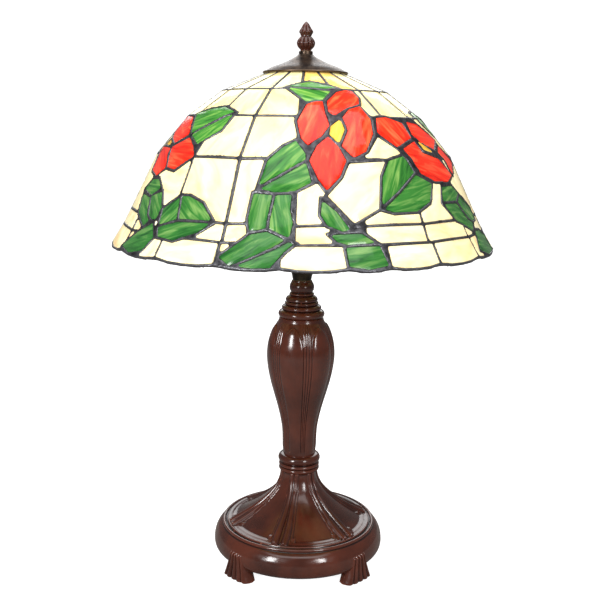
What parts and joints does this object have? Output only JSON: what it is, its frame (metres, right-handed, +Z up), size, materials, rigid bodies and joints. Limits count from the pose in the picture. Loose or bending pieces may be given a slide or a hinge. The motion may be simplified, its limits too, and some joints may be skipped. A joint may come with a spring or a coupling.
{
  "type": "table lamp",
  "caption": "Table lamp with a leaded-glass dome of red flowers and green leaves, two upright bulb holders, a turned vase column and a round footed base.",
  "frame": {"origin": "middle of the foot circle, on the table", "axes": "+Z up along the lamp's axis, -Y towards the front"},
  "size_m": [0.4134, 0.4132, 0.5999],
  "materials": {
    "mahogany_resin": "dark red-brown, gloss lacquer",
    "dark_bronze": "mottled dark bronze patina, satin",
    "brass": "satin",
    "steel": "zinc plated",
    "iron": "rough",
    "plate_steel": "matte black",
    "felt": "pressed felt",
    "black_plastic": "matte",
    "porcelain": "glazed",
    "nickel": "nickel plated",
    "frosted_glass": "frosted",
    "solder": "dark patina on solder",
    "glass_cream": "opalescent, polished",
    "glass_green": "streaky opalescent, polished",
    "glass_red": "streaky opalescent, polished",
    "glass_yellow": "opalescent, polished"
  },
  "bodies": {
    "stand": {"base_casting": "mahogany_resin", "foot_front_left": "mahogany_resin", "foot_front_right": "mahogany_resin", "foot_rear_left": "mahogany_resin", "foot_rear_right": "mahogany_resin", "felt_pads": "felt", "bottom_plate": "plate_steel", "plate_screws": "steel", "base_weight": "iron", "cord_gland": "black_plastic", "collar_ring": "mahogany_resin", "vase_body": "mahogany_resin", "neck_turning": "mahogany_resin", "top_cup": "dark_bronze", "threaded_rod": "brass", "rod_washer": "steel", "rod_nut": "steel", "cluster_hub": "dark_bronze", "cluster_arm_left": "brass", "cluster_arm_right": "brass", "socket_cap_left": "brass", "socket_cap_right": "brass", "socket_shell_left": "black_plastic", "socket_shell_right": "black_plastic", "socket_insert_left": "porcelain", "socket_insert_right": "porcelain", "riser_tube": "brass", "shade_seat": "brass", "finial_stud": "brass"},
    "shade": {"shade_spider": "brass", "top_ring": "brass", "solder_front": "solder", "solder_rear": "solder", "cream_glass": "glass_cream", "green_glass": "glass_green", "red_glass": "glass_red", "yellow_glass": "glass_yellow", "heat_cap": "dark_bronze"},
    "finial_thread": {"finial_insert": "brass"},
    "finial": {"finial": "mahogany_resin"},
    "bulb_contact_left": {"bulb_contact_left": "nickel"},
    "bulb_left": {"bulb_cap_left": "nickel", "bulb_glass_left": "frosted_glass"},
    "bulb_contact_right": {"bulb_contact_right": "nickel"},
    "bulb_right": {"bulb_cap_right": "nickel", "bulb_glass_right": "frosted_glass"}
  },
  "joints": [
    {"name": "shade_turn", "type": "hinge", "parent": "stand", "child": "shade", "pos_m": [0, 0, 0.54], "axis": [0, 0, 1], "continuous": true},
    {"name": "finial_lift", "type": "slide", "parent": "stand", "child": "finial_thread", "axis": [0, 0, 1], "range_m": [0, 0.006]},
    {"name": "finial_turn", "type": "hinge", "parent": "finial_thread", "child": "finial", "pos_m": [0, 0, 0.57], "axis": [0, 0, 1], "range_deg": [0, 2160]},
    {"name": "bulb_lift_left", "type": "slide", "parent": "stand", "child": "bulb_contact_left", "axis": [0, 0, 1], "range_m": [0, 0.01089]},
    {"name": "bulb_turn_left", "type": "hinge", "parent": "bulb_contact_left", "child": "bulb_left", "pos_m": [-0.042, 0, 0.385], "axis": [0, 0, 1], "range_deg": [0, 1080]},
    {"name": "bulb_lift_right", "type": "slide", "parent": "stand", "child": "bulb_contact_right", "axis": [0, 0, 1], "range_m": [0, 0.01089]},
    {"name": "bulb_turn_right", "type": "hinge", "parent": "bulb_contact_right", "child": "bulb_right", "pos_m": [0.042, 0, 0.385], "axis": [0, 0, 1], "range_deg": [0, 1080]}
  ],
  "couplings": [
    {"joint": "finial_turn", "follows": "finial_lift", "rad_per_m": 6283.2},
    {"joint": "bulb_lift_left", "follows": "bulb_turn_left", "m_per_rad": 0.00057757},
    {"joint": "bulb_lift_right", "follows": "bulb_turn_right", "m_per_rad": 0.00057757}
  ]
}
